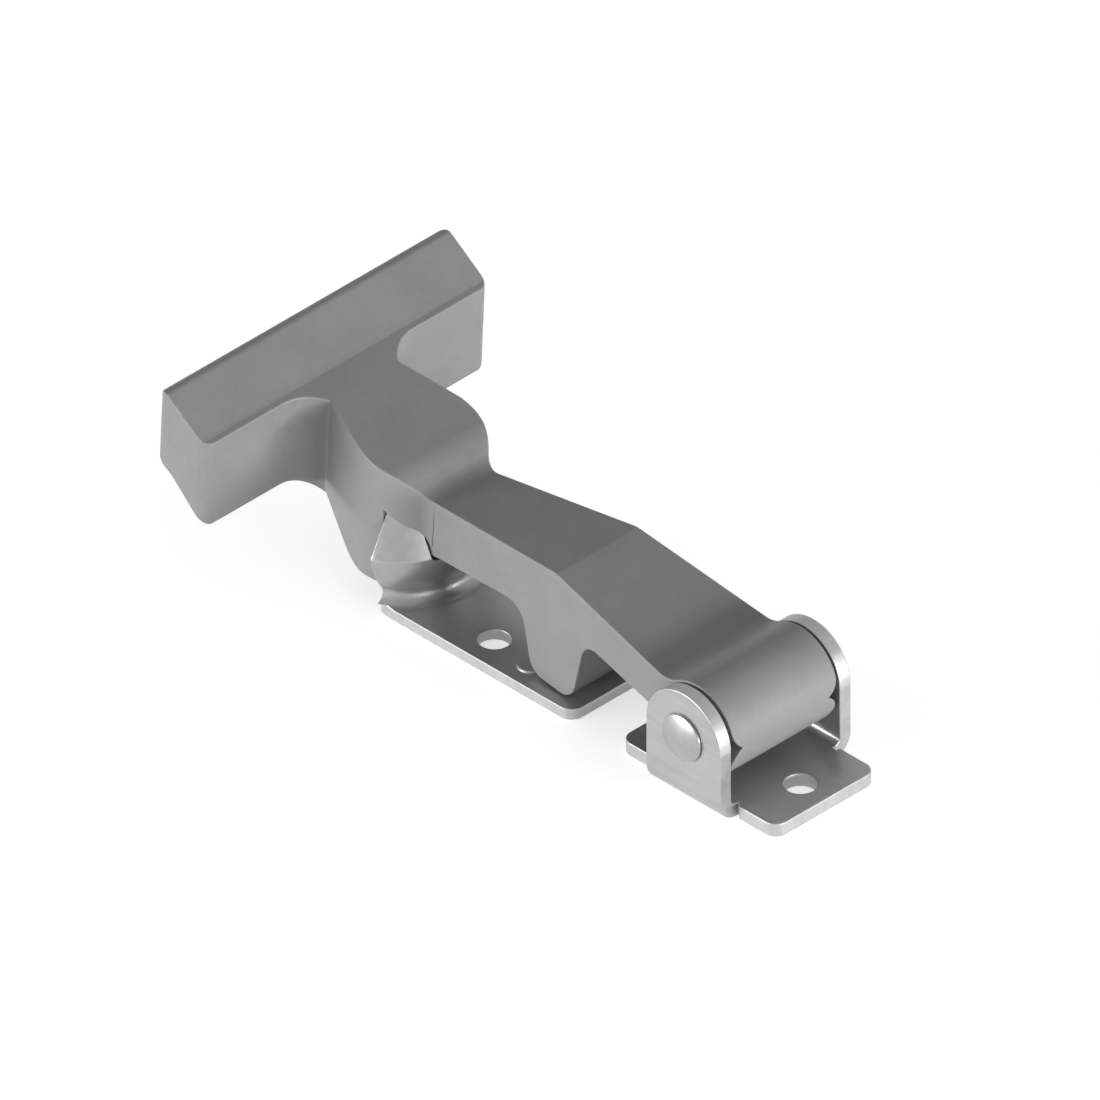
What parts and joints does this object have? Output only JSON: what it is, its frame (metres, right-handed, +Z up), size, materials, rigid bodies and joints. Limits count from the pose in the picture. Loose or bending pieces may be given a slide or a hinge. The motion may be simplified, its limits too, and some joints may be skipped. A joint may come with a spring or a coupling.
{
  "type": "draw latch",
  "caption": "Rubber draw latch: T-handle arm pivoting on a riveted pin in a folded bracket, its catch seated behind a drawn steel keeper.",
  "frame": {"origin": "centre of the bracket's two screw holes on the mounting plane, straight below the pivot pin's axis", "axes": "+X along the latch from the T-handle towards the bracket, +Y along the pivot pin, +Z up from the mounting plane"},
  "size_m": [0.1424, 0.0762, 0.0465],
  "materials": {
    "bracket_steel": "satin",
    "pin_steel": "polished",
    "keeper_steel": "satin",
    "latch_rubber": "matte moulded"
  },
  "bodies": {
    "base": {"bracket": "bracket_steel", "pivot_pin": "pin_steel", "keeper": "keeper_steel"},
    "latch": {"latch_body": "latch_rubber"}
  },
  "joints": [
    {"name": "latch_pivot", "type": "hinge", "parent": "base", "child": "latch", "pos_m": [0, 0, 0.0156], "axis": [0, 1, 0], "range_deg": [0, 160]}
  ]
}
